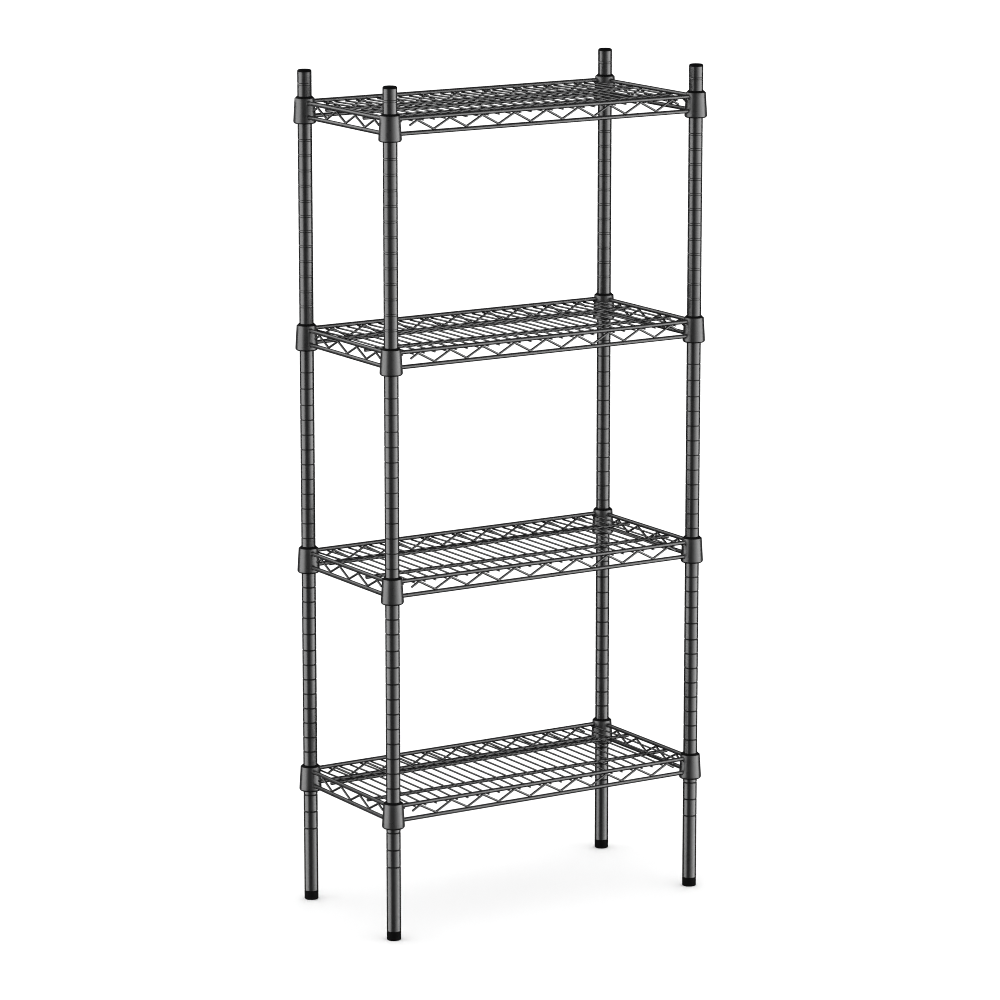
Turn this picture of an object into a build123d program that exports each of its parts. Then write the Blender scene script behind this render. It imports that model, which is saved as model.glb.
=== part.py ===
"""Four-shelf wire shelving rack on grooved tube posts.

Origin on the floor under the middle of the rack. +X runs along the long side, +Y from front to back,
+Z up. Every length is in millimetres. Heights inside a shelf are measured down from the top of the
plastic sleeves that the shelf is wedged on.
"""

from build123d import *
import math
import os

# Overall layout
rack_height = 1371.6
post_span_x = 571.5
post_span_y = 266.7
shelf_count = 4
shelf_pitch = 366.6
first_sleeve_top = 229.0

# Posts: thin tube with rolled grooves. A run is the height of its first groove, its pitch and its count.
post_radius = 11.5
post_wall = 1.2
groove_depth = 0.7
groove_half_width = 1.1
groove_runs = (
    (121.7, 28.4, 3),
    (227.5, 24.4, 9),
    (450.0, 27.0, 3),
    (528.0, 24.4, 1),
    (610.0, 24.4, 10),
    (856.4, 26.6, 2),
    (990.3, 24.4, 12),
    (1348.3, 24.4, 1),
)
post_foot_gap = 0.3

# Post caps
cap_height = 4.0
cap_edge_radius = 3.0
cap_plug_depth = 16.0
cap_plug_wall = 1.6

# Levelling feet and the threaded inserts in the post ends
pad_height = 15.0
pad_edge_radius = 1.5
stem_radius = 4.76
stem_length = 34.0
stem_sunk_in_pad = 8.0
thread_pitch = 1.5875
thread_depth = 0.5
insert_height = 22.0
insert_recess = 0.7
insert_bore_radius = 4.86

# Split sleeves: two plastic halves, a taper outside and a bead inside that sits in a groove
sleeve_height = 39.6
sleeve_bore_radius = 11.6
sleeve_lip_radius = 12.4
sleeve_shoulder_drop = 2.2
sleeve_top_radius = 14.65
sleeve_bottom_radius = 15.1
sleeve_bead_depth = 0.5
sleeve_bead_half_width = 0.5
sleeve_bead_drop = 25.9
sleeve_split = 0.8
sleeve_split_angle = -45.0

# Shelf corner collars: tapered, open rings
collar_top_drop = 3.0
collar_height = 40.7
collar_top_radius = 16.05
collar_bottom_radius = 18.35
collar_top_bore = 14.95
collar_bottom_bore = 15.45
collar_foot_radius = 4.0
collar_foot_land = 0.5
collar_top_edge = 0.5

# Rim rails
rail_radius = 3.4
rail_offset = 1.6
rail_end_sink = 0.12
long_rail_drops = (9.0, 32.6)
short_rail_drops = (10.1, 33.0)

# Zigzag wires between the two rails of each side
zigzag_wire_radius = 1.85
zigzag_sink = 0.9
zigzag_bend_radius = 4.0
zigzag_tail = 13.9
long_zigzag_waves = 8
short_zigzag_waves = 3

# Deck wires, lifted between the two supports and pulled down under the long rails
deck_wire_radius = 1.5
deck_drop = 11.1
deck_bend_radius = 300.0
deck_wire_count = 28
deck_wire_pitch = 19.8
deck_wire_length = 275.0
deck_sink = 0.7
support_radius = 3.0
support_length = 580.0
support_half_spacing = 58.5
support_sink = 0.9

corners = {
    "front_left": (-1, -1),
    "front_right": (1, -1),
    "back_left": (-1, 1),
    "back_right": (1, 1),
}
half_x = post_span_x / 2
half_y = post_span_y / 2
post_bottom = pad_height + post_foot_gap
post_top = rack_height - cap_height
post_bore_radius = post_radius - post_wall
zigzag_wavelength = 3 * deck_wire_pitch

# The collar's lower edge is a round of collar_foot_radius from its side to a narrow land by the bore
collar_foot_width = collar_bottom_radius - collar_bottom_bore - collar_foot_land
collar_foot_angle = math.acos(1 - collar_foot_width / collar_foot_radius)
collar_foot_height = collar_foot_radius * math.sin(collar_foot_angle)

os.makedirs("parts", exist_ok=True)


def save(name, solids):
    """Write one named piece, or a group of like pieces, as a STEP file."""
    pieces = list(solids)
    shape = pieces[0] if len(pieces) == 1 else Compound(children=pieces)
    export_step(shape, os.path.join("parts", name + ".step"))


def sleeve_top(shelf):
    """Height of the top of the sleeves that carry a shelf, counted from 1 at the bottom."""
    return first_sleeve_top + shelf_pitch * (shelf - 1)


def turned(edges):
    """Solid of revolution about Z from a closed outline of edges in the XZ plane."""
    return revolve(make_face(Wire(edges)), axis=Axis.Z).solid()


def outline(points):
    """Closed chain of straight edges through (radius, height) points."""
    corners_3d = [Vector(radius, 0, height) for radius, height in points]
    return [Edge.make_line(a, b) for a, b in zip(corners_3d, corners_3d[1:] + corners_3d[:1])]


def groove_heights():
    """Heights of all the grooves of a post: the open runs, and one for the bead of each sleeve."""
    heights = [sleeve_top(shelf) - sleeve_bead_drop for shelf in range(1, shelf_count + 1)]
    for first, pitch, count in groove_runs:
        heights += [first + pitch * step for step in range(count)]
    return sorted(heights)


def make_post():
    points = [(post_bore_radius, post_bottom), (post_radius, post_bottom)]
    for height in groove_heights():
        points.append((post_radius, height - groove_half_width))
        points.append((post_radius - groove_depth, height))
        points.append((post_radius, height + groove_half_width))
    points.append((post_radius, post_top))
    points.append((post_bore_radius, post_top))
    return turned(outline(points))


def make_cap():
    """Domed plug: a rounded lid that sits on the tube and a hollow skirt inside it."""
    skirt = post_bore_radius
    inner = skirt - cap_plug_wall
    low = post_top - cap_plug_depth
    shoulder = Vector(post_radius, 0, rack_height - cap_edge_radius)
    centre = Vector(post_radius - cap_edge_radius, 0, rack_height - cap_edge_radius)
    reach = cap_edge_radius * math.sqrt(0.5)
    middle = centre + Vector(reach, 0, reach)
    flat = Vector(post_radius - cap_edge_radius, 0, rack_height)
    stops = [
        flat,
        Vector(0, 0, rack_height),
        Vector(0, 0, post_top - cap_plug_wall),
        Vector(inner, 0, post_top - cap_plug_wall),
        Vector(inner, 0, low),
        Vector(skirt, 0, low),
        Vector(skirt, 0, post_top),
        Vector(post_radius, 0, post_top),
        shoulder,
    ]
    edges = [Edge.make_line(a, b) for a, b in zip(stops, stops[1:])]
    edges.append(Edge.make_three_point_arc(shoulder, middle, flat))
    return turned(edges)


def make_insert():
    low = post_bottom + insert_recess
    high = low + insert_height
    points = [
        (insert_bore_radius, low),
        (post_bore_radius, low),
        (post_bore_radius, high),
        (insert_bore_radius, high),
    ]
    return turned(outline(points))


def make_pad():
    """Round foot pad, rounded at the floor, with a blind hole for the stem."""
    reach = pad_edge_radius * (1 - math.sqrt(0.5))
    low_edge = Vector(post_radius - pad_edge_radius, 0, 0)
    middle = Vector(post_radius - reach, 0, reach)
    high_edge = Vector(post_radius, 0, pad_edge_radius)
    stops = [
        high_edge,
        Vector(post_radius, 0, pad_height),
        Vector(stem_radius, 0, pad_height),
        Vector(stem_radius, 0, pad_height - stem_sunk_in_pad),
        Vector(0, 0, pad_height - stem_sunk_in_pad),
        Vector(0, 0, 0),
        low_edge,
    ]
    edges = [Edge.make_line(a, b) for a, b in zip(stops, stops[1:])]
    edges.append(Edge.make_three_point_arc(low_edge, middle, high_edge))
    return turned(edges)


def make_stem():
    """Threaded stem; its thread is drawn as rings of the same pitch and depth."""
    low = pad_height - stem_sunk_in_pad
    high = pad_height + stem_length
    root = stem_radius - thread_depth
    points = [(0, low), (stem_radius, low), (stem_radius, pad_height + thread_pitch)]
    turns = int((stem_length - 2 * thread_pitch) / thread_pitch)
    for turn in range(1, turns):
        base = pad_height + thread_pitch * turn
        points.append((root, base + thread_pitch / 2))
        points.append((stem_radius, base + thread_pitch))
    points.append((root, high))
    points.append((0, high))
    return turned(outline(points))


def make_sleeve():
    """The two halves of one split sleeve, with their top at height 0."""
    low = -sleeve_height
    bead_tip = sleeve_bore_radius - sleeve_bead_depth
    points = [
        (sleeve_bore_radius, 0),
        (sleeve_bore_radius, -sleeve_bead_drop + sleeve_bead_half_width),
        (bead_tip, -sleeve_bead_drop),
        (sleeve_bore_radius, -sleeve_bead_drop - sleeve_bead_half_width),
        (sleeve_bore_radius, low),
        (sleeve_bottom_radius, low),
        (sleeve_top_radius, -sleeve_shoulder_drop),
        (sleeve_lip_radius, 0),
    ]
    ring = turned(outline(points))
    saw = Box(4 * sleeve_bottom_radius, sleeve_split, 3 * sleeve_height)
    return (ring - Rot(0, 0, sleeve_split_angle) * saw).solids()


def collar_radius(drop):
    """Outer radius of a collar at a depth below the sleeve top."""
    slope_height = collar_height - collar_foot_height
    share = (drop - collar_top_drop) / slope_height
    return collar_top_radius + (collar_bottom_radius - collar_top_radius) * share


def make_collar():
    """Open tapered ring with its lower edge rolled round."""
    top = -collar_top_drop
    low = top - collar_height
    turn = Vector(collar_bottom_radius - collar_foot_radius, 0, low + collar_foot_height)
    half = collar_foot_angle / 2
    side = Vector(collar_bottom_radius, 0, low + collar_foot_height)
    middle = turn + Vector(collar_foot_radius * math.cos(half), 0, -collar_foot_radius * math.sin(half))
    under = Vector(collar_bottom_radius - collar_foot_width, 0, low)
    stops = [
        under,
        Vector(collar_bottom_bore, 0, low),
        Vector(collar_top_bore, 0, top),
        Vector(collar_top_radius - collar_top_edge, 0, top),
        Vector(collar_top_radius, 0, top - collar_top_edge),
        side,
    ]
    edges = [Edge.make_line(a, b) for a, b in zip(stops, stops[1:])]
    edges.append(Edge.make_three_point_arc(side, middle, under))
    return turned(edges)


def rod(start, end, radius):
    """Round bar between two points."""
    start = Vector(*start)
    end = Vector(*end)
    plane = Plane(origin=start, z_dir=end - start)
    return extrude(plane * Circle(radius), amount=(end - start).length).solid()


def rail_reach(drop):
    """Distance from a post's axis to the end of a rail, sunk a little into the collar's wall."""
    side = rail_offset + rail_radius
    return math.sqrt(collar_radius(drop) ** 2 - side**2) - rail_end_sink


def make_long_rails():
    rails = []
    for drop in long_rail_drops:
        half_length = half_x - rail_reach(drop)
        for side in (-1, 1):
            y = side * (half_y + rail_offset)
            rails.append(rod((-half_length, y, -drop), (half_length, y, -drop), rail_radius))
    return rails


def make_short_rails():
    rails = []
    for drop in short_rail_drops:
        half_length = half_y - rail_reach(drop)
        for side in (-1, 1):
            x = side * (half_x + rail_offset)
            rails.append(rod((x, -half_length, -drop), (x, half_length, -drop), rail_radius))
    return rails


def zigzag_points(waves, rail_drops):
    """Corner points (along, height) of a zigzag that is up at both ends, before rounding."""
    reach = rail_radius + zigzag_wire_radius - zigzag_sink
    high = -rail_drops[0] - reach
    low = -rail_drops[1] + reach
    slope = math.atan2(high - low, zigzag_wavelength / 2)
    overshoot = zigzag_bend_radius * (1 / math.cos(slope) - 1)
    high += overshoot
    low -= overshoot
    middle = (high + low) / 2
    first = -waves * zigzag_wavelength / 2
    points = [(first - zigzag_tail, middle)]
    for half_wave in range(2 * waves + 1):
        height = high if half_wave % 2 == 0 else low
        points.append((first + half_wave * zigzag_wavelength / 2, height))
    points.append((-first + zigzag_tail, middle))
    return points


def bent_wire(points, bend_radius, wire_radius):
    """Round wire swept along a path of straight legs and round bends."""
    path = FilletPolyline(*points, radius=bend_radius)
    start = Vector(*points[0])
    section = Plane(origin=start, z_dir=Vector(*points[1]) - start) * Circle(wire_radius)
    return sweep(section, path=path).solid()


def make_zigzags():
    wires = []
    for side in (-1, 1):
        y = side * (half_y + rail_offset)
        points = zigzag_points(long_zigzag_waves, long_rail_drops)
        corners_of_wire = [(along, y, height) for along, height in points]
        wires.append(bent_wire(corners_of_wire, zigzag_bend_radius, zigzag_wire_radius))
    for side in (-1, 1):
        x = side * (half_x + rail_offset)
        points = zigzag_points(short_zigzag_waves, short_rail_drops)
        corners_of_wire = [(x, along, height) for along, height in points]
        wires.append(bent_wire(corners_of_wire, zigzag_bend_radius, zigzag_wire_radius))
    return wires


deck_end_height = -(long_rail_drops[0] + rail_radius + deck_wire_radius - deck_sink)
support_height = -deck_drop - deck_wire_radius - support_radius + support_sink


def make_deck_wires():
    wires = []
    half_length = deck_wire_length / 2
    for index in range(deck_wire_count):
        x = deck_wire_pitch * (index - (deck_wire_count - 1) / 2)
        points = [
            (x, -half_length, deck_end_height),
            (x, -support_half_spacing, -deck_drop),
            (x, support_half_spacing, -deck_drop),
            (x, half_length, deck_end_height),
        ]
        wires.append(bent_wire(points, deck_bend_radius, deck_wire_radius))
    return wires


def make_supports():
    half_length = support_length / 2
    supports = []
    for side in (-1, 1):
        y = side * support_half_spacing
        start = (-half_length, y, support_height)
        supports.append(rod(start, (half_length, y, support_height), support_radius))
    return supports


def at_corners(solid):
    """One copy of a solid at each post's axis."""
    return [Pos(sx * half_x, sy * half_y, 0) * solid for sx, sy in corners.values()]


# Pieces that repeat once per post
corner_pieces = {
    "post": make_post(),
    "post_cap": make_cap(),
    "foot_insert": make_insert(),
    "foot_pad": make_pad(),
    "foot_stem": make_stem(),
}
for piece_name, solid in corner_pieces.items():
    for corner, place in zip(corners, at_corners(solid)):
        save(piece_name + "_" + corner, [place])

# Two sleeve halves at each corner of each shelf
sleeve_halves = make_sleeve()
for shelf in range(1, shelf_count + 1):
    for corner, (sx, sy) in corners.items():
        spot = Pos(sx * half_x, sy * half_y, sleeve_top(shelf))
        save(f"sleeve_{shelf}_{corner}", [spot * half for half in sleeve_halves])

# Pieces that repeat once per shelf
shelf_pieces = {
    "collars": at_corners(make_collar()),
    "long_rails": make_long_rails(),
    "short_rails": make_short_rails(),
    "zigzag_wires": make_zigzags(),
    "supports": make_supports(),
    "deck_wires": make_deck_wires(),
}
for shelf in range(1, shelf_count + 1):
    lift = Pos(0, 0, sleeve_top(shelf))
    for piece_name, solids in shelf_pieces.items():
        save(f"shelf_{shelf}_{piece_name}", [lift * solid for solid in solids])
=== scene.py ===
"""Looks of the four-shelf wire rack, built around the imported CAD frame.

Every visible piece is rebuilt in mesh code at the place of the CAD node that it stands for: posts with
rolled grooves, domed caps, split sleeves, tapered collars, rails, zigzags, deck wires and supports with
cut ends, threaded feet, and a weld at every joint. Lengths are in metres, in the CAD frame.
"""

import math

import bpy
import numpy as np
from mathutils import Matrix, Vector


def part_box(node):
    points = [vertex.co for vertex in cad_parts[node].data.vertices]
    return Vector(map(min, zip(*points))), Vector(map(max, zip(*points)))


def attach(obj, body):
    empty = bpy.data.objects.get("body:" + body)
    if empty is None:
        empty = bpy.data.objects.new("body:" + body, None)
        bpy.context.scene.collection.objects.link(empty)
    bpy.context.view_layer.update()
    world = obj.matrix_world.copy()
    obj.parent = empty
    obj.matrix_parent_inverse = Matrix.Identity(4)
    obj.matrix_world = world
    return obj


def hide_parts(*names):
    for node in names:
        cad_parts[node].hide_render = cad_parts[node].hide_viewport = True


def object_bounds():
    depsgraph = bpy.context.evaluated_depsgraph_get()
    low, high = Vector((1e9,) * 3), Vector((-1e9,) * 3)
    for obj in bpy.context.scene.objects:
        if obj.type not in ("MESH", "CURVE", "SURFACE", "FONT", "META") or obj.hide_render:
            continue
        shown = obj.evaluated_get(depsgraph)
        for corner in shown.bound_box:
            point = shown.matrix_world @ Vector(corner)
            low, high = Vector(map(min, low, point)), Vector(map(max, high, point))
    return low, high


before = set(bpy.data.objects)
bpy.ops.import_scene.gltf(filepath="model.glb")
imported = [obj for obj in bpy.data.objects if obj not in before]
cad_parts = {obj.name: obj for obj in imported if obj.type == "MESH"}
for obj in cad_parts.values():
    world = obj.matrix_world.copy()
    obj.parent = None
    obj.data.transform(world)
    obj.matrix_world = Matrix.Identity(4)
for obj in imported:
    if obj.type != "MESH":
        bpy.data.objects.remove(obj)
cad_low, cad_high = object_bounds()

MM = 0.001
CORNERS = ("front_left", "front_right", "back_left", "back_right")
SHELVES = (1, 2, 3, 4)
rng = np.random.default_rng(7)


# ---------------------------------------------------------------- sizes

def axis_of(node):
    """Middle of a node's box in plan."""
    low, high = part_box(node)
    return (low + high).xy / 2


# Read from the frame
post_low, post_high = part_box("post_front_left")
POST_RADIUS = (post_high.x - post_low.x) / 2
POST_BOTTOM, POST_TOP = post_low.z, post_high.z
RACK_TOP = cad_high.z
axes = {corner: axis_of("post_" + corner) for corner in CORNERS}
HALF_X, HALF_Y = axes["back_right"]
sleeve_tops = {number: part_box(f"sleeve_{number}_front_left")[1].z for number in SHELVES}

# Posts. A run of grooves is the height of its first one, its pitch and its count, in millimetres.
POST_WALL = 1.2 * MM
POST_BORE = POST_RADIUS - POST_WALL
POST_EDGE = 0.25 * MM
GROOVE_RUNS = (
    (121.7, 28.4, 3),
    (227.5, 24.4, 9),
    (450.0, 27.0, 3),
    (528.0, 24.4, 1),
    (610.0, 24.4, 10),
    (856.4, 26.6, 2),
    (990.3, 24.4, 12),
    (1348.3, 24.4, 1),
)
SLIM_GROOVE_SHARE = 0.82

# Caps
CAP_EDGE_RADIUS = 3.0 * MM
CAP_CROWN = 0.2 * MM
CAP_PLUG_WALL = 1.6 * MM
CAP_PLUG_DEPTH = 16 * MM

# Feet and the inserts that they screw into
PAD_EDGE_RADIUS = 1.5 * MM
PAD_HOLE_DEPTH = 8 * MM
PAD_RECESS = 0.4 * MM
INSERT_BORE = 4.86 * MM
INSERT_LEAD_IN = 0.6 * MM
INSERT_EDGE = 0.3 * MM
THREAD_PITCH, THREAD_DEPTH = 1.5875 * MM, 0.5 * MM
THREAD_ROWS_PER_TURN = 8
THREAD_SIDES = 36

# Sleeves
SLEEVE_BORE, SLEEVE_HEIGHT = 11.6 * MM, 39.6 * MM
SLEEVE_LIP, SLEEVE_RIM, SLEEVE_FOOT = 12.4 * MM, 14.65 * MM, 15.1 * MM
SLEEVE_STEPS = 24
BEAD_DROP, BEAD_DEPTH, BEAD_HALF_WIDTH = 25.9 * MM, 0.5 * MM, 0.7 * MM
SPLIT_ANGLE = math.radians(-45)
SPLIT_HALF_GAP = 0.4 * MM / (13.4 * MM)

# Collars: heights inside a shelf are measured down from the sleeves' tops
COLLAR_TOP_DROP, COLLAR_HEIGHT = 3.0 * MM, 40.7 * MM
COLLAR_TOP_RADIUS, COLLAR_TOP_BORE, COLLAR_FOOT_BORE = 16.05 * MM, 14.95 * MM, 15.45 * MM
COLLAR_FOOT_LAND = 0.5 * MM
COLLAR_FOOT_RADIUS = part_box("shelf_1_collars")[1].x - HALF_X
FOOT_ROUND = 4.0 * MM
FOOT_ANGLE = math.acos(1 - (COLLAR_FOOT_RADIUS - COLLAR_FOOT_BORE - COLLAR_FOOT_LAND) / FOOT_ROUND)
FOOT_HEIGHT = FOOT_ROUND * math.sin(FOOT_ANGLE)

# Rails, wires and supports
WIRE = 1.5 * MM
ZIGZAG_WIRE = 1.85 * MM
RAIL = 3.4 * MM
SUPPORT = 3.0 * MM
OUTWARD = 1.6 * MM
RAIL_END_SINK = 0.12 * MM
LONG_DROPS, SHORT_DROPS = (9.0 * MM, 32.6 * MM), (10.1 * MM, 33.0 * MM)
DECK_PITCH, DECK_COUNT = 19.8 * MM, 28
DECK_DROP, DECK_END_DROP, SUPPORT_DROP = 11.1 * MM, 13.2 * MM, 14.7 * MM
DECK_BEND_REACH = 4.0 * MM
WAVE = 3 * DECK_PITCH
LONG_WAVES, SHORT_WAVES = 8, 3
ZIGZAG_SINK = 0.9 * MM
ZIGZAG_BEND = 4.0 * MM
ZIGZAG_BEND_STEPS = 8
ZIGZAG_TAIL = 13.9 * MM
DECK_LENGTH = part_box("shelf_1_deck_wires")[1].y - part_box("shelf_1_deck_wires")[0].y
SUPPORT_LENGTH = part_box("shelf_1_supports")[1].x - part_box("shelf_1_supports")[0].x
SUPPORT_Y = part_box("shelf_1_supports")[1].y - SUPPORT

# Welds: half sizes along, across and up, and how far a blob's middle sinks into the upper bar
BEND_WELD = (2.9 * MM, 1.9 * MM, 0.8 * MM)
DECK_END_WELD, DECK_END_WELD_SINK = (2.1 * MM, 1.7 * MM, 0.9 * MM), 0.3 * MM
DECK_WELD, DECK_WELD_SINK = (2.0 * MM, 1.8 * MM, 0.8 * MM), 0.4 * MM
SUPPORT_WELD, SUPPORT_WELD_SINK = (3.5 * MM, 3.0 * MM, 1.0 * MM), 0.7 * MM
WELD_SIZE_VARIATION, WELD_PLACE_VARIATION = 0.12, 0.15 * MM
RAIL_BEAD_STEPS, RAIL_BEAD_SIDES, RAIL_BEAD_RIPPLES = 28, 8, 7
RAIL_BEAD_SIZE, RAIL_BEAD_RIPPLE, RAIL_BEAD_STANDOFF = 0.75 * MM, 0.12 * MM, 0.15 * MM

# Camera and lights
CAMERA_LENS = 165.7
CAMERA_AIM = (-0.0023, 0.0, 0.6639)
CAMERA_AZIMUTH, CAMERA_ELEVATION, CAMERA_DISTANCE = -31.97, 11.89, 7.497
FLOOR_HALF_SIZE = 40.0
SKY_STRENGTH = 1.3
SKY_ENDS, SKY_STARTS = -0.08, -0.05
SOFTBOX_DISTANCE = 3.0
UPRIGHT, OVERHEAD = (-1.1, 2.4), (1.4, 4.0)
SOFTBOXES = (
    ("softbox_left", (-132.0, -80.0), UPRIGHT, 4.9),
    ("softbox_left_edge", (-80.0, -67.2), UPRIGHT, 1.6),
    ("softbox_fill", (-67.2, -20.0), UPRIGHT, 0.12),
    ("softbox_right_1", (-20.0, -2.0), UPRIGHT, 1.0),
    ("softbox_right_2", (-2.0, 16.0), UPRIGHT, 2.5),
    ("softbox_right_3", (16.0, 34.0), UPRIGHT, 4.5),
    ("softbox_right_4", (34.0, 70.0), UPRIGHT, 6.2),
    ("softbox_back", (-169.2, -133.2), OVERHEAD, 3.0),
)


# ---------------------------------------------------------------- camera, lights and floor

def look_from(azimuth, elevation, distance, aim):
    """A point at a distance from aim; azimuth 0 is in front of the rack, elevation above the horizon."""
    a, e = math.radians(azimuth), math.radians(elevation)
    back = Vector((math.sin(a) * math.cos(e), -math.cos(a) * math.cos(e), math.sin(e)))
    return Vector(aim) + back * distance


def aim_at(thing, target):
    thing.rotation_mode = "QUATERNION"
    thing.rotation_quaternion = (Vector(target) - thing.location).to_track_quat("-Z", "Y")


def add_camera():
    data = bpy.data.cameras.new("camera")
    data.sensor_width = 36.0
    data.lens = CAMERA_LENS
    camera = bpy.data.objects.new("camera", data)
    bpy.context.scene.collection.objects.link(camera)
    camera.location = look_from(CAMERA_AZIMUTH, CAMERA_ELEVATION, CAMERA_DISTANCE, CAMERA_AIM)
    aim_at(camera, CAMERA_AIM)
    data.clip_start, data.clip_end = 0.1, 100.0
    bpy.context.scene.camera = camera


def add_softbox(name, azimuths, heights, radiance):
    """Upright soft light between two azimuths and two heights, facing the rack's middle line.

    It shows in reflections only; the even light on matt surfaces is the sky's.
    """
    azimuth = (azimuths[0] + azimuths[1]) / 2
    half = math.radians(azimuths[1] - azimuths[0]) / 2
    low, high = heights
    data = bpy.data.lights.new(name, "AREA")
    data.shape = "RECTANGLE"
    data.size, data.size_y = 2 * SOFTBOX_DISTANCE * math.tan(half), high - low
    data.energy = radiance * math.pi * data.size * data.size_y
    light = bpy.data.objects.new(name, data)
    bpy.context.scene.collection.objects.link(light)
    middle = (low + high) / 2
    light.location = look_from(azimuth, 0.0, SOFTBOX_DISTANCE, (0.0, 0.0, middle))
    aim_at(light, (0.0, 0.0, middle))
    light.visible_camera = False
    light.visible_diffuse = False


def add_floor():
    """Pale matt floor at the height of the pads."""
    mesh = bpy.data.meshes.new("floor")
    half = FLOOR_HALF_SIZE
    corners = [(-half, -half, 0), (half, -half, 0), (half, half, 0), (-half, half, 0)]
    mesh.from_pydata(corners, [], [(0, 1, 2, 3)])
    floor = bpy.data.objects.new("floor", mesh)
    bpy.context.scene.collection.objects.link(floor)
    material = bpy.data.materials.new("pale_floor")
    material.use_nodes = True
    shader = material.node_tree.nodes["Principled BSDF"]
    shader.inputs["Base Color"].default_value = (0.93, 0.93, 0.93, 1)
    shader.inputs["Roughness"].default_value = 0.9
    shader.inputs["Specular IOR Level"].default_value = 0.0
    mesh.materials.append(material)
    floor.visible_glossy = False
    floor.visible_shadow = False
    floor.visible_diffuse = False


def add_world():
    """White sky down to just under the floor's far edge, black below, and out of sight of reflections."""
    world = bpy.data.worlds.new("studio")
    bpy.context.scene.world = world
    world.use_nodes = True
    tree = world.node_tree
    background = tree.nodes["Background"]
    background.inputs["Strength"].default_value = SKY_STRENGTH
    direction = tree.nodes.new("ShaderNodeTexCoord")
    parts = tree.nodes.new("ShaderNodeSeparateXYZ")
    sky = tree.nodes.new("ShaderNodeMapRange")
    sky.inputs["From Min"].default_value = SKY_ENDS
    sky.inputs["From Max"].default_value = SKY_STARTS
    tree.links.new(direction.outputs["Generated"], parts.inputs["Vector"])
    tree.links.new(parts.outputs["Z"], sky.inputs["Value"])
    tree.links.new(sky.outputs["Result"], background.inputs["Color"])
    world.cycles_visibility.glossy = False


bpy.context.scene.view_settings.view_transform = "Standard"
bpy.context.scene.cycles.filter_width = 1.0
add_camera()
add_world()
add_floor()
for softbox in SOFTBOXES:
    add_softbox(*softbox)


# ---------------------------------------------------------------- materials

class Nodes:
    """Short way to lay out a material's node tree."""

    def __init__(self, name):
        self.material = bpy.data.materials.new(name)
        self.material.use_nodes = True
        self.tree = self.material.node_tree
        self.shader = self.tree.nodes["Principled BSDF"]
        self.place = self.tree.nodes.new("ShaderNodeTexCoord").outputs["Object"]

    def feed(self, socket, value):
        """Links a socket to another node's output, or sets its number or colour."""
        if isinstance(value, bpy.types.NodeSocket):
            self.tree.links.new(value, socket)
        else:
            socket.default_value = value

    def node(self, kind, settings=None, **inputs):
        made = self.tree.nodes.new("ShaderNode" + kind)
        for key, value in (settings or {}).items():
            setattr(made, key, value)
        for key, value in inputs.items():
            self.feed(made.inputs[key.replace("_", " ")], value)
        return made

    def noise(self, scale, detail):
        return self.node("TexNoise", Vector=self.place, Scale=scale, Detail=detail).outputs["Fac"]

    def spread(self, value, low, high, start=0.3, stop=0.7):
        """Maps a 0 to 1 value from start..stop to low..high."""
        made = self.node("MapRange", Value=value, From_Min=start, From_Max=stop, To_Min=low, To_Max=high)
        return made.outputs["Result"]

    def calculate(self, kind, operation, values):
        """A Math or VectorMath node with its unnamed inputs filled in order."""
        made = self.node(kind, {"operation": operation})
        for index, value in enumerate(values):
            self.feed(made.inputs[index], value)
        return made

    def blend(self, factor, first, second):
        """Mixes two colours. A Mix node's colour sockets share their names, so they go by index."""
        made = self.node("Mix", {"data_type": "RGBA"}, Factor=factor)
        for index, colour in ((6, first), (7, second)):
            self.feed(made.inputs[index], (*colour, 1) if isinstance(colour, tuple) else colour)
        return made.outputs[2]

    def bump(self, height, strength, distance, normal=None):
        made = self.node("Bump", Height=height, Strength=strength, Distance=distance)
        if normal is not None:
            self.feed(made.inputs["Normal"], normal)
        return made.outputs["Normal"]

    def edges(self, low, high):
        """1 on sharp outer edges and 0 on flat and hollow places."""
        pointiness = self.node("NewGeometry").outputs["Pointiness"]
        return self.spread(pointiness, 0.0, 1.0, low, high)

    def connect(self, **sockets):
        for key, value in sockets.items():
            self.feed(self.shader.inputs[key.replace("_", " ")], value)


def grooved_share(n):
    """0 on the round surface of a post and 1 in its grooves, from the distance to the nearest axis; it masks
    the painted shade in the grooves.
    """
    folded = n.calculate("VectorMath", "ABSOLUTE", [n.place]).outputs["Vector"]
    offset = n.calculate("VectorMath", "SUBTRACT", [folded, (HALF_X, HALF_Y, 0.0)]).outputs["Vector"]
    flat = n.calculate("VectorMath", "MULTIPLY", [offset, (1.0, 1.0, 0.0)]).outputs["Vector"]
    distance = n.calculate("VectorMath", "LENGTH", [flat]).outputs["Value"]
    return n.spread(distance, 1.0, 0.0, POST_RADIUS - 0.35 * MM, POST_RADIUS - 0.1 * MM)


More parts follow.
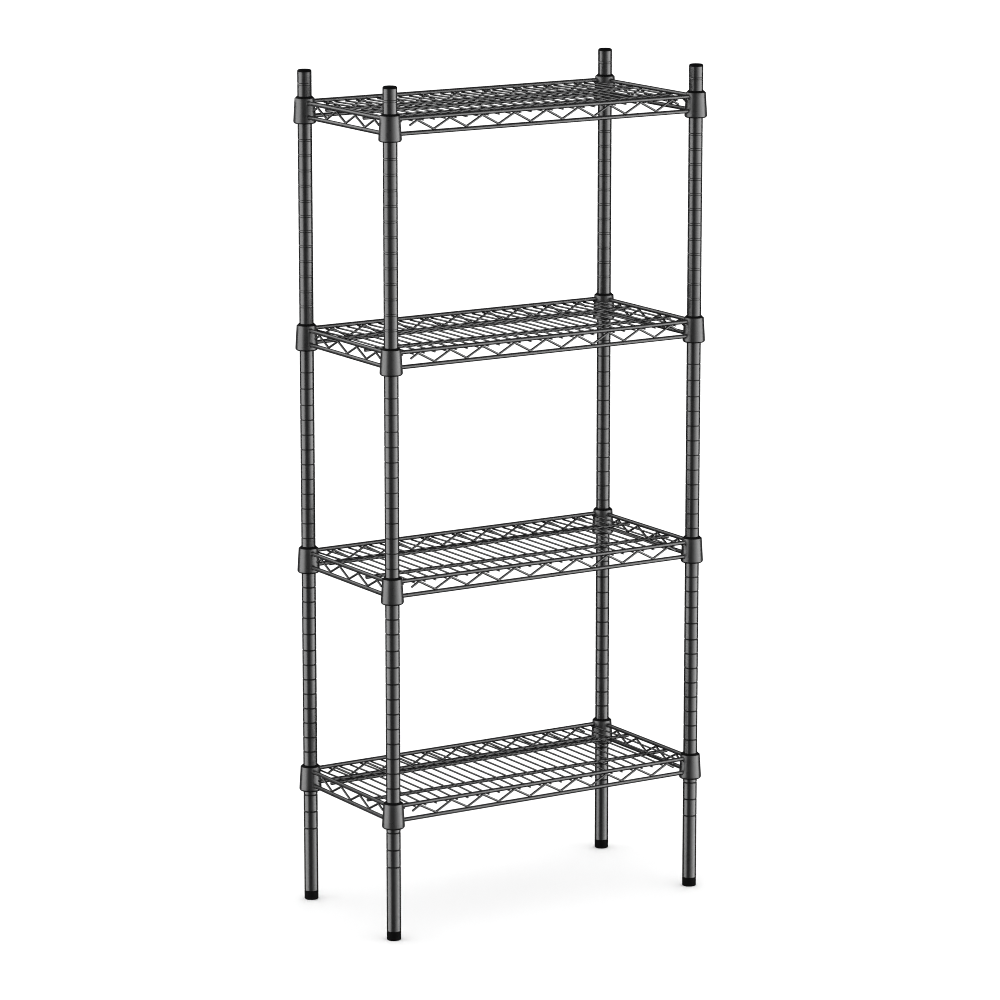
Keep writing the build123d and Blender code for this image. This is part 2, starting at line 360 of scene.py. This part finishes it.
def epoxy_coat(name, dark, light, smooth, rough, peel, grooved=False):
    """Black powder-coated steel: faint mottling, orange peel, thinner paint on edges, and painted shade in
    the grooves.
    """
    # The near-black groove colour is painted shade for the shadow inside the grooves; the grooves also get
    # rougher paint.
    thin_paint, groove_painted_shade, groove_shade_roughening = (0.05, 0.05, 0.052), (0.0015, 0.0015, 0.0016), 0.25
    n = Nodes(name)
    mottled = n.blend(n.spread(n.noise(45.0, 4.0), 0.0, 1.0), dark, light)
    patchy = n.spread(n.noise(320.0, 3.0), 0.0, 0.8, 0.45, 0.62)
    scuffed = n.calculate("Math", "MULTIPLY", [n.edges(0.54, 0.62), patchy]).outputs[0]
    colour = n.blend(scuffed, mottled, thin_paint)
    roughness = n.spread(n.noise(140.0, 3.0), smooth, rough)
    if grooved:
        # Painted shade: inside the grooves the colour goes near-black and the paint rougher, standing in for
        # the shadow there.
        sunk = grooved_share(n)
        colour = n.blend(sunk, colour, groove_painted_shade)
        roughness = n.calculate("Math", "MULTIPLY_ADD", [sunk, groove_shade_roughening, roughness]).outputs[0]
    fine = n.bump(n.noise(2600.0, 2.0), 0.10, 0.0001)
    waves = n.bump(n.noise(420.0, 1.0), peel, 0.0002, fine)
    n.connect(Base_Color=colour, Roughness=roughness, Normal=waves, IOR=1.55)
    return n.material


def moulded_plastic():
    """Matt black plastic with a fine spark-eroded grain."""
    dark, light, polished = (0.0015, 0.0015, 0.0016), (0.0035, 0.0035, 0.0036), (0.008, 0.008, 0.0082)
    n = Nodes("moulded_black_plastic")
    colour = n.blend(n.spread(n.noise(60.0, 3.0), 0.0, 1.0), dark, light)
    rubbed = n.blend(n.edges(0.55, 0.66), colour, polished)
    roughness = n.spread(n.noise(220.0, 2.0), 0.66, 0.82)
    grain = n.bump(n.noise(3200.0, 2.0), 0.25, 0.0001)
    n.connect(Base_Color=rubbed, Roughness=roughness, Normal=grain, IOR=1.12)
    return n.material


def zinc_plate():
    """Bright zinc-plated steel, turned on a lathe and slightly cloudy."""
    dull, bright, polished = (0.46, 0.47, 0.49), (0.62, 0.63, 0.66), (0.75, 0.75, 0.78)
    n = Nodes("zinc_plated_steel")
    colour = n.blend(n.spread(n.noise(260.0, 4.0), 0.0, 1.0), dull, bright)
    rubbed = n.blend(n.edges(0.53, 0.64), colour, polished)
    lines = n.node("TexWave", {"bands_direction": "Z"}, Vector=n.place, Scale=900.0, Distortion=2.0)
    marks = n.bump(lines.outputs["Fac"], 0.12, 0.0001)
    roughness = n.spread(n.noise(500.0, 3.0), 0.24, 0.42)
    n.connect(Base_Color=rubbed, Roughness=roughness, Normal=marks, Metallic=1.0)
    return n.material


finishes = {
    "post_tube": epoxy_coat(
        "epoxy_post", (0.014, 0.014, 0.0145), (0.020, 0.020, 0.0205), 0.18, 0.26, 0.04, grooved=True
    ),
    "collar": epoxy_coat("epoxy_collar", (0.014, 0.014, 0.0145), (0.022, 0.022, 0.0225), 0.26, 0.34, 0.10),
    "shelf_wire": epoxy_coat("epoxy_wire", (0.011, 0.011, 0.0114), (0.017, 0.017, 0.0174), 0.26, 0.34, 0.06),
    "black_plastic": moulded_plastic(),
    "zinc_steel": zinc_plate(),
}


# ---------------------------------------------------------------- mesh building

class Shape:
    """Points and faces of one piece, gathered patch by patch."""

    def __init__(self):
        self.points, self.faces, self.count = [], [], 0

    def add(self, points, faces):
        self.points.append(np.asarray(points, float))
        self.faces += [tuple(index + self.count for index in face) for face in faces]
        self.count += len(points)

    def finish(self, name, body, slot, replaces=(), sharp=35.0):
        """Makes the object, rides it on its body and gives it its slot's material."""
        mesh = bpy.data.meshes.new(name)
        mesh.from_pydata(np.concatenate(self.points).tolist(), [], self.faces)
        mesh.validate()
        mesh.polygons.foreach_set("use_smooth", np.ones(len(mesh.polygons), bool))
        mesh.set_sharp_from_angle(angle=math.radians(sharp))
        mesh.materials.append(finishes[slot])
        piece = bpy.data.objects.new(name, mesh)
        bpy.context.scene.collection.objects.link(piece)
        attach(piece, body)
        if replaces:
            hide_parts(*replaces)


def ring_faces(rows, columns, wrap_rows=False):
    """Quads between neighbouring rings of points, each ring columns long."""
    faces = []
    for row in range(rows if wrap_rows else rows - 1):
        below, above = row * columns, (row + 1) % rows * columns
        for column in range(columns):
            beside = (column + 1) % columns
            faces.append((below + column, below + beside, above + beside, above + column))
    return faces


def capped_faces(rows, columns):
    """Quads between neighbouring rings, and one face over the first ring and one over the last."""
    ends = [tuple(reversed(range(columns))), tuple(range((rows - 1) * columns, rows * columns))]
    return ring_faces(rows, columns) + ends


def turned(centre, outline, sides):
    """Points of rings about a vertical axis, one for each (radius, height) of an outline."""
    angles = np.arange(sides) * 2 * math.pi / sides
    x = centre[0] + outline[:, :1] * np.cos(angles)
    y = centre[1] + outline[:, :1] * np.sin(angles)
    z = np.repeat(outline[:, 1:2], sides, axis=1)
    return np.stack([x, y, z], axis=2).reshape(-1, 3)


def lathe(shape, centre, profile, sides=48):
    """Ring turned about a vertical axis from a closed outline of (radius, height) points."""
    profile = np.asarray(profile, float)
    shape.add(turned(centre, profile, sides), ring_faces(len(profile), sides, wrap_rows=True))


def lathe_solid(shape, centre, profile, sides=48):
    """Solid turned about a vertical axis from an outline whose first and last points lie on the axis."""
    profile = np.asarray(profile, float)
    inner = profile[1:-1]
    points = turned(centre, inner, sides)
    first = (centre[0], centre[1], profile[0, 1])
    last = (centre[0], centre[1], profile[-1, 1])
    faces = ring_faces(len(inner), sides)
    start, end, top = len(points), len(points) + 1, (len(inner) - 1) * sides
    for column in range(sides):
        beside = (column + 1) % sides
        faces.append((start, beside, column))
        faces.append((end, top + column, top + beside))
    shape.add(np.vstack([points, [first], [last]]), faces)


def quarter_round(centre, radius, start, direction):
    """Points of a quarter circle from a start angle in degrees; direction is 1 or -1."""
    turns = [math.radians(start + direction * 15 * step) for step in range(7)]
    return [(centre[0] + radius * math.cos(turn), centre[1] + radius * math.sin(turn)) for turn in turns]


def sweep(shape, path, radii, sides):
    """Round wire along a path of points, closed at both ends, with a radius at each point."""
    path = np.asarray(path, float)
    ahead = np.diff(path, axis=0)
    ahead /= np.linalg.norm(ahead, axis=1)[:, None]
    tangents = np.vstack([ahead[:1], ahead[:-1] + ahead[1:], ahead[-1:]])
    tangents /= np.linalg.norm(tangents, axis=1)[:, None]
    across = np.cross(tangents[0], (0.0, 0.0, 1.0))
    angles = np.arange(sides) * 2 * math.pi / sides
    rows = []
    for point, tangent, radius in zip(path, tangents, radii):
        across = across - tangent * (across @ tangent)
        across /= np.linalg.norm(across)
        upward = np.cross(tangent, across)
        rows.append(point + radius * (np.outer(np.cos(angles), across) + np.outer(np.sin(angles), upward)))
    shape.add(np.concatenate(rows), capped_faces(len(path), sides))


def bar(shape, points, radius, sides=20, chamfer=0.4 * MM):
    """Round bar along a line of points, with a small bevel at each cut end."""
    points = [np.asarray(point, float) for point in points]
    first, last = points[1] - points[0], points[-2] - points[-1]
    first, last = first / np.linalg.norm(first) * chamfer, last / np.linalg.norm(last) * chamfer
    path = [points[0], points[0] + first, points[0] + first * 3] + points[1:-1]
    path += [points[-1] + last * 3, points[-1] + last, points[-1]]
    sweep(shape, path, [radius - chamfer] + [radius] * (len(path) - 2) + [radius - chamfer], sides)


def blob(shape, centre, along, half_sizes, sides=10, rows=6):
    """Squashed ball of weld metal; half_sizes run along, across and up."""
    along = np.asarray(along, float)
    across = np.cross((0.0, 0.0, 1.0), along)
    points = []
    for row in range(1, rows):
        polar = math.pi * row / rows
        for column in range(sides):
            turn = 2 * math.pi * column / sides
            level = math.sin(polar)
            points.append((level * math.cos(turn), level * math.sin(turn), math.cos(polar)))
    points += [(0.0, 0.0, 1.0), (0.0, 0.0, -1.0)]
    local = np.array(points) * half_sizes
    placed = centre + np.outer(local[:, 0], along) + np.outer(local[:, 1], across)
    placed[:, 2] += local[:, 2]
    faces = [tuple(reversed(face)) for face in ring_faces(rows - 1, sides)]
    top, bottom, last = len(points) - 2, len(points) - 1, (rows - 2) * sides
    for column in range(sides):
        beside = (column + 1) % sides
        faces.append((top, column, beside))
        faces.append((bottom, last + beside, last + column))
    shape.add(placed, faces)


# ---------------------------------------------------------------- posts, caps and feet

def groove_heights():
    """Heights of the rolled grooves: those of the runs, and one under each sleeve's bead."""
    heights = [sleeve_tops[number] - BEAD_DROP for number in SHELVES]
    for first, pitch, count in GROOVE_RUNS:
        heights += [(first + pitch * step) * MM for step in range(count)]
    return sorted(heights)


def groove_section(height):
    """Groove outline, upwards, as (offset, depth) in millimetres: one V, or two fine lines near the top."""
    if height > sleeve_tops[3]:
        return ((-2.1, 0.0), (-1.7, 0.45), (-1.1, 0.05), (1.0, 0.05), (1.6, 0.45), (2.1, 0.0))
    share = 1.0 if height < sleeve_tops[2] else SLIM_GROOVE_SHARE
    broad = ((-1.3, 0.0), (-1.0, 0.75), (-0.75, 0.9), (0.9, 0.12), (1.3, 0.0))
    return [(offset * share, depth * share) for offset, depth in broad]


def post_profile():
    """Tube wall with a rolled groove at each height."""
    edge = POST_EDGE
    points = [(POST_BORE, POST_BOTTOM), (POST_RADIUS - edge, POST_BOTTOM), (POST_RADIUS, POST_BOTTOM + edge)]
    for height in groove_heights():
        section = groove_section(height)
        points.append((POST_RADIUS, height + section[0][0] * MM - edge))
        points += [(POST_RADIUS - depth * MM, height + offset * MM) for offset, depth in section]
        points.append((POST_RADIUS, height + section[-1][0] * MM + edge))
    points += [(POST_RADIUS, POST_TOP - edge), (POST_RADIUS - edge, POST_TOP), (POST_BORE, POST_TOP)]
    return points


def cap_profile():
    """Lid with a rounded rim, a faint crown and a gate mark, over a hollow plug with a lead-in."""
    inner = POST_BORE - CAP_PLUG_WALL
    plug_low, lid_low = POST_TOP - CAP_PLUG_DEPTH, POST_TOP - CAP_PLUG_WALL
    gate_floor = RACK_TOP - 0.45 * MM
    points = [(0, gate_floor), (0.9 * MM, gate_floor), (1.2 * MM, RACK_TOP - 0.05 * MM)]
    points += [(3.0 * MM, RACK_TOP), (POST_RADIUS - 4.2 * MM, RACK_TOP - 0.12 * MM)]
    edge_centre = (POST_RADIUS - CAP_EDGE_RADIUS, RACK_TOP - CAP_EDGE_RADIUS - CAP_CROWN)
    points += quarter_round(edge_centre, CAP_EDGE_RADIUS, 90, -1)
    points += [(POST_RADIUS, POST_TOP + POST_EDGE), (POST_RADIUS - POST_EDGE, POST_TOP)]
    points.append((POST_BORE, POST_TOP))
    points += [(POST_BORE, plug_low + 0.8 * MM), (POST_BORE - 0.4 * MM, plug_low), (inner, plug_low)]
    points += [(inner, lid_low - 0.4 * MM), (inner - 0.5 * MM, lid_low), (0, lid_low)]
    return points


def insert_profile(radius, low, high):
    """Bevelled sleeve with a lead-in at both ends of its bore."""
    edge, wide_bore = INSERT_EDGE, INSERT_BORE + INSERT_LEAD_IN
    points = [(wide_bore, low), (radius - edge, low), (radius, low + edge)]
    points += [(radius, high - edge), (radius - edge, high), (wide_bore, high)]
    points += [(INSERT_BORE, high - INSERT_LEAD_IN), (INSERT_BORE, low + INSERT_LEAD_IN)]
    return points


def pad_profile(low, high, stem_radius):
    """Foot pad with a rounded floor edge, a shallow recess under it and a bevelled top."""
    hole_low = high - PAD_HOLE_DEPTH
    points = [(0, low + PAD_RECESS), (6.5 * MM, low + PAD_RECESS), (7.0 * MM, low)]
    edge_centre = (POST_RADIUS - PAD_EDGE_RADIUS, low + PAD_EDGE_RADIUS)
    points += quarter_round(edge_centre, PAD_EDGE_RADIUS, -90, 1)
    points += [(POST_RADIUS, high - 0.5 * MM), (POST_RADIUS - 0.5 * MM, high)]
    points += [(stem_radius + 0.3 * MM, high), (stem_radius, high - 0.3 * MM)]
    points += [(stem_radius, hole_low), (0, hole_low)]
    return points


def thread_ring(height, start, radius, fade):
    """Radii round one level of a helical thread, which fades out where fade is under 1."""
    ring = []
    for column in range(THREAD_SIDES):
        phase = (height - start) / THREAD_PITCH - column / THREAD_SIDES
        wave = abs((phase % 1.0) * 2 - 1)
        groove = max(0.0, min(1.0, 1.25 * wave - 0.1))
        ring.append((radius - THREAD_DEPTH * fade * groove, height))
    return ring


def threaded_stem(shape, centre, low, pad_top, high, radius):
    """Plain shank in the pad, then a helical thread up to a bevelled tip."""
    tip, start = high - 1.0 * MM, pad_top + 0.6 * MM
    rows = int((tip - start) / THREAD_PITCH * THREAD_ROWS_PER_TURN)
    run_out = THREAD_ROWS_PER_TURN * 0.8
    rings = []
    for height, size in ((low, radius - 0.4 * MM), (low + 0.4 * MM, radius), (start, radius)):
        rings.append([(size, height)] * THREAD_SIDES)
    for row in range(1, rows):
        height = start + (tip - start) * row / rows
        rings.append(thread_ring(height, start, radius, min(1.0, row / run_out, (rows - row) / run_out)))
    for height, size in ((tip, radius - THREAD_DEPTH * 0.3), (high - 0.05 * MM, radius - 1.0 * MM)):
        rings.append([(size, height)] * THREAD_SIDES)
    placed = []
    for ring in rings:
        for column, (size, height) in enumerate(ring):
            turn = 2 * math.pi * column / THREAD_SIDES
            placed.append((centre[0] + size * math.cos(turn), centre[1] + size * math.sin(turn), height))
    shape.add(placed, capped_faces(len(rings), THREAD_SIDES))


def add_post(corner):
    post = Shape()
    lathe(post, axes[corner], post_profile(), sides=56)
    post.finish("post_tube_" + corner, "root", "post_tube", ["post_" + corner])


def add_cap(corner):
    cap = Shape()
    lathe_solid(cap, axes[corner], cap_profile(), sides=56)
    cap.finish("cap_" + corner, "root", "black_plastic", ["post_cap_" + corner])


def add_insert(corner):
    node = "foot_insert_" + corner
    low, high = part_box(node)
    insert = Shape()
    lathe(insert, axes[corner], insert_profile((high.x - low.x) / 2, low.z, high.z))
    insert.finish("insert_" + corner, "root", "black_plastic", [node])


def add_foot(corner):
    """Pad and threaded stem, which screw in and out of the post together."""
    pad_low, pad_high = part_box("foot_pad_" + corner)
    stem_low, stem_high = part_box("foot_stem_" + corner)
    stem_radius = (stem_high.x - stem_low.x) / 2
    pad = Shape()
    lathe_solid(pad, axes[corner], pad_profile(pad_low.z, pad_high.z, stem_radius), sides=56)
    pad.finish("pad_" + corner, "foot_" + corner, "black_plastic", ["foot_pad_" + corner])
    stem = Shape()
    threaded_stem(stem, axes[corner], stem_low.z, pad_high.z, stem_high.z, stem_radius)
    stem.finish("stem_" + corner, "foot_" + corner, "zinc_steel", ["foot_stem_" + corner])


# ---------------------------------------------------------------- sleeves

def sleeve_outline():
    """Section of a sleeve's wall as (radius, drop): bead inside, tapered outside, bevelled rims."""
    outline = [(SLEEVE_BORE + 0.2 * MM, 0), (SLEEVE_BORE, 0.3 * MM)]
    for step in (-1.0, -0.6, 0.0, 0.6, 1.0):
        bead = BEAD_DEPTH * (0.5 + 0.5 * math.cos(math.pi * step))
        outline.append((SLEEVE_BORE - bead, BEAD_DROP + BEAD_HALF_WIDTH * step))
    outline += [(SLEEVE_BORE, SLEEVE_HEIGHT - 0.3 * MM), (SLEEVE_BORE + 0.3 * MM, SLEEVE_HEIGHT)]
    outline += [(SLEEVE_FOOT - 0.4 * MM, SLEEVE_HEIGHT), (SLEEVE_FOOT, SLEEVE_HEIGHT - 0.4 * MM)]
    outline += [(SLEEVE_RIM, 2.6 * MM), (SLEEVE_RIM - 0.15 * MM, 2.1 * MM), (SLEEVE_LIP, 0)]
    return outline


def sleeve_half(shape, centre, top, start_angle, stop_angle):
    """Half of a split sleeve, closed by flat split faces."""
    outline = sleeve_outline()
    points = []
    for row in range(SLEEVE_STEPS + 1):
        turn = start_angle + (stop_angle - start_angle) * row / SLEEVE_STEPS
        for radius, drop in outline:
            x, y = centre[0] + radius * math.cos(turn), centre[1] + radius * math.sin(turn)
            points.append((x, y, top - drop))
    shape.add(points, capped_faces(SLEEVE_STEPS + 1, len(outline)))


def add_sleeve(number, corner):
    """Both halves of a sleeve, on either side of a narrow split."""
    sleeve = Shape()
    for side in (0, 1):
        start = SPLIT_ANGLE + math.pi * side
        stop = start + math.pi
        sleeve_half(sleeve, axes[corner], sleeve_tops[number], start + SPLIT_HALF_GAP, stop - SPLIT_HALF_GAP)
    node = f"sleeve_{number}_{corner}"
    sleeve.finish("split_" + node, "root", "black_plastic", [node])


# ---------------------------------------------------------------- shelves

def collar_radius(drop):
    share = (drop - COLLAR_TOP_DROP) / (COLLAR_HEIGHT - FOOT_HEIGHT)
    return COLLAR_TOP_RADIUS + (COLLAR_FOOT_RADIUS - COLLAR_TOP_RADIUS) * share


def collar_profile(top):
    """Tapered ring with a rolled lower edge and a softened upper one."""
    high, low = top - COLLAR_TOP_DROP, top - COLLAR_TOP_DROP - COLLAR_HEIGHT
    points = [(COLLAR_TOP_BORE, high - 0.2 * MM), (COLLAR_TOP_BORE + 0.2 * MM, high)]
    points.append((COLLAR_TOP_RADIUS - 0.45 * MM, high))
    points += [(COLLAR_TOP_RADIUS - 0.15 * MM, high - 0.12 * MM), (COLLAR_TOP_RADIUS, high - 0.45 * MM)]
    for share in (0.25, 0.5, 0.75):
        drop = COLLAR_TOP_DROP + share * (COLLAR_HEIGHT - FOOT_HEIGHT)
        points.append((collar_radius(drop), top - drop))
    for step in range(8):
        turn = FOOT_ANGLE / 7 * step
        radius = COLLAR_FOOT_RADIUS - FOOT_ROUND * (1 - math.cos(turn))
        points.append((radius, low + FOOT_HEIGHT - FOOT_ROUND * math.sin(turn)))
    points += [(COLLAR_FOOT_BORE + 0.2 * MM, low), (COLLAR_FOOT_BORE, low + 0.2 * MM)]
    return points[::-1]


def rail_half_length(half_span, drop):
    """Half the length of a rail that ends just inside the walls of the two collars it joins."""
    side = OUTWARD + RAIL
    return half_span - math.sqrt(collar_radius(drop) ** 2 - side**2) + RAIL_END_SINK


def zigzag_turns(waves, drops):
    """Corner points (along, height) of a zigzag that is up at both ends, before its bends are rounded."""
    reach = RAIL + ZIGZAG_WIRE - ZIGZAG_SINK
    high, low = -drops[0] - reach, -drops[1] + reach
    slope = math.atan2(high - low, WAVE / 2)
    overshoot = ZIGZAG_BEND * (1 / math.cos(slope) - 1)
    high, low = high + overshoot, low - overshoot
    first, middle = -waves * WAVE / 2, (high + low) / 2
    turns = [(first - ZIGZAG_TAIL, middle)]
    for half_wave in range(2 * waves + 1):
        turns.append((first + half_wave * WAVE / 2, high if half_wave % 2 == 0 else low))
    turns.append((-first + ZIGZAG_TAIL, middle))
    return [np.array(turn) for turn in turns]


def zigzag_path(waves, drops):
    """Centre line (along, height) of a zigzag with round bends."""
    turns = zigzag_turns(waves, drops)
    path = [turns[0]]
    for before, at, after in zip(turns, turns[1:], turns[2:]):
        inward, outward = before - at, after - at
        inward /= np.linalg.norm(inward)
        outward /= np.linalg.norm(outward)
        half = math.acos(max(-1.0, min(1.0, inward @ outward))) / 2
        middle = (inward + outward) / np.linalg.norm(inward + outward) * ZIGZAG_BEND / math.sin(half)
        start = inward * ZIGZAG_BEND / math.tan(half) - middle
        stop = outward * ZIGZAG_BEND / math.tan(half) - middle
        bend_angle = math.pi - 2 * half
        for step in range(ZIGZAG_BEND_STEPS + 1):
            turn = bend_angle * step / ZIGZAG_BEND_STEPS
            mixed = (math.sin(bend_angle - turn) * start + math.sin(turn) * stop) / math.sin(bend_angle)
            path.append(at + middle + mixed)
    path.append(turns[-1])
    return path


def deck_x(index):
    return DECK_PITCH * (index - (DECK_COUNT - 1) / 2)


def deck_path(x, top):
    """A deck wire, flat between the supports and pulled down at both ends under the long rails."""
    half, reach = DECK_LENGTH / 2, DECK_BEND_REACH
    slope = (DECK_END_DROP - DECK_DROP) / (half - SUPPORT_Y)
    outer = [(half, DECK_END_DROP), (SUPPORT_Y + reach, DECK_DROP + slope * reach)]
    outer += [(SUPPORT_Y, DECK_DROP + slope * reach / 4), (SUPPORT_Y - reach, DECK_DROP)]
    front = [(x, -y, top - drop) for y, drop in outer]
    return front + [(x, y, top - drop) for y, drop in reversed(outer)]


def rail_bead(shape, post_axis, direction, sideways, top, drop):
    """Weld bead round the end of a rail, along the line where it meets the tapered collar."""
    direction, sideways = np.array(direction, float), np.array(sideways, float)
    turns = np.arange(RAIL_BEAD_STEPS) * 2 * math.pi / RAIL_BEAD_STEPS
    reach = RAIL + RAIL_BEAD_STANDOFF
    path = []
    for turn in turns:
        side = OUTWARD + reach * math.cos(turn)
        depth = drop - reach * math.sin(turn)
        out = math.sqrt(collar_radius(depth) ** 2 - side**2)
        spot = direction * out + sideways * side
        path.append((post_axis[0] + spot[0], post_axis[1] + spot[1], top - depth))
    path = np.array(path)
    middle = path.mean(axis=0)
    sizes = RAIL_BEAD_SIZE + RAIL_BEAD_RIPPLE * np.sin(turns * RAIL_BEAD_RIPPLES)
    points = []
    for step in range(RAIL_BEAD_STEPS):
        tangent = path[(step + 1) % RAIL_BEAD_STEPS] - path[step - 1]
        tangent /= np.linalg.norm(tangent)
        outward = path[step] - middle
        outward -= tangent * (outward @ tangent)
        outward /= np.linalg.norm(outward)
        upward = np.cross(tangent, outward)
        for column in range(RAIL_BEAD_SIDES):
            angle = 2 * math.pi * column / RAIL_BEAD_SIDES
            points.append(path[step] + sizes[step] * (math.cos(angle) * outward + math.sin(angle) * upward))
    shape.add(points, ring_faces(RAIL_BEAD_STEPS, RAIL_BEAD_SIDES, wrap_rows=True))


def jitter():
    """Three random numbers from -1 to 1."""
    return (rng.random(3) - 0.5) * 2


def weld(shape, centre, along, half_sizes):
    """Weld blob whose size and place vary slightly from one to the next."""
    vary = 1 + WELD_SIZE_VARIATION * jitter()
    shift = WELD_PLACE_VARIATION * jitter() * (1, 1, 0)
    blob(shape, np.array(centre) + shift, along, np.array(half_sizes) * vary)


def rail_end_welds(shape, top):
    for corner in CORNERS:
        centre = axes[corner]
        side_x, side_y = math.copysign(1, centre[0]), math.copysign(1, centre[1])
        for drop in LONG_DROPS:
            rail_bead(shape, centre, (-side_x, 0, 0), (0, side_y, 0), top, drop)
        for drop in SHORT_DROPS:
            rail_bead(shape, centre, (0, -side_y, 0), (side_x, 0, 0), top, drop)


def bend_height(half_wave, top, drops):
    """Height of the weld at a zigzag's bend: under the top rail or on the lower one, by turns."""
    return top - drops[0] - RAIL if half_wave % 2 == 0 else top - drops[1] + RAIL


def zigzag_welds(shape, top):
    for side in (-1, 1):
        y = side * (HALF_Y + OUTWARD)
        for half_wave in range(2 * LONG_WAVES + 1):
            x = (half_wave - LONG_WAVES) * WAVE / 2
            weld(shape, (x, y, bend_height(half_wave, top, LONG_DROPS)), (1, 0, 0), BEND_WELD)
        x = side * (HALF_X + OUTWARD)
        for half_wave in range(2 * SHORT_WAVES + 1):
            y = (half_wave - SHORT_WAVES) * WAVE / 2
            weld(shape, (x, y, bend_height(half_wave, top, SHORT_DROPS)), (0, 1, 0), BEND_WELD)


def deck_welds(shape, top):
    under_rail = top - LONG_DROPS[0] - RAIL + DECK_END_WELD_SINK
    on_support = top - DECK_DROP - WIRE + DECK_WELD_SINK
    for index in range(DECK_COUNT):
        for side in (-1, 1):
            weld(shape, (deck_x(index), side * (HALF_Y + OUTWARD), under_rail), (1, 0, 0), DECK_END_WELD)
            weld(shape, (deck_x(index), side * SUPPORT_Y, on_support), (1, 0, 0), DECK_WELD)


def support_welds(shape, top):
    under_rail = top - SHORT_DROPS[0] - RAIL + SUPPORT_WELD_SINK
    for side in (-1, 1):
        for end in (-1, 1):
            contact = (end * (HALF_X + OUTWARD), side * SUPPORT_Y, under_rail)
            weld(shape, contact, (0, 1, 0), SUPPORT_WELD)


def add_collars(body, top):
    collars = Shape()
    for corner in CORNERS:
        lathe(collars, axes[corner], collar_profile(top), sides=56)
    collars.finish(f"{body}_collar_rings", body, "collar", [f"{body}_collars"])


def add_long_rails(body, top):
    long_rails = Shape()
    for drop in LONG_DROPS:
        reach = rail_half_length(HALF_X, drop)
        for side in (-1, 1):
            y = side * (HALF_Y + OUTWARD)
            bar(long_rails, [(-reach, y, top - drop), (reach, y, top - drop)], RAIL, sides=24)
    long_rails.finish(f"{body}_rim_long", body, "shelf_wire", [f"{body}_long_rails"])


def add_short_rails(body, top):
    short_rails = Shape()
    for drop in SHORT_DROPS:
        reach = rail_half_length(HALF_Y, drop)
        for side in (-1, 1):
            x = side * (HALF_X + OUTWARD)
            bar(short_rails, [(x, -reach, top - drop), (x, reach, top - drop)], RAIL, sides=24)
    short_rails.finish(f"{body}_rim_short", body, "shelf_wire", [f"{body}_short_rails"])


def add_zigzags(body, top):
    zigzags = Shape()
    for side in (-1, 1):
        y = side * (HALF_Y + OUTWARD)
        path = [(along, y, top + height) for along, height in zigzag_path(LONG_WAVES, LONG_DROPS)]
        bar(zigzags, path, ZIGZAG_WIRE, sides=14, chamfer=0.35 * MM)
        x = side * (HALF_X + OUTWARD)
        path = [(x, along, top + height) for along, height in zigzag_path(SHORT_WAVES, SHORT_DROPS)]
        bar(zigzags, path, ZIGZAG_WIRE, sides=14, chamfer=0.35 * MM)
    zigzags.finish(f"{body}_zigzags", body, "shelf_wire", [f"{body}_zigzag_wires"], sharp=50.0)


def add_supports(body, top):
    supports = Shape()
    for side in (-1, 1):
        y, z = side * SUPPORT_Y, top - SUPPORT_DROP
        bar(supports, [(-SUPPORT_LENGTH / 2, y, z), (SUPPORT_LENGTH / 2, y, z)], SUPPORT)
    supports.finish(f"{body}_cross_supports", body, "shelf_wire", [f"{body}_supports"])


def add_deck(body, top):
    deck = Shape()
    for index in range(DECK_COUNT):
        bar(deck, deck_path(deck_x(index), top), WIRE, sides=14, chamfer=0.3 * MM)
    deck.finish(f"{body}_deck", body, "shelf_wire", [f"{body}_deck_wires"])


def add_welds(body, top):
    """Every welded joint of a shelf: rail ends, zigzag bends, deck wires and supports."""
    welds = Shape()
    rail_end_welds(welds, top)
    zigzag_welds(welds, top)
    deck_welds(welds, top)
    support_welds(welds, top)
    welds.finish(f"{body}_welds", body, "shelf_wire", sharp=60.0)


# ---------------------------------------------------------------- the rack

for corner in CORNERS:
    add_post(corner)
    add_cap(corner)
    add_insert(corner)
    add_foot(corner)

for number in SHELVES:
    for corner in CORNERS:
        add_sleeve(number, corner)

for number in SHELVES:
    for add_part in (
        add_collars,
        add_long_rails,
        add_short_rails,
        add_zigzags,
        add_supports,
        add_deck,
        add_welds,
    ):
        add_part(f"shelf_{number}", sleeve_tops[number])
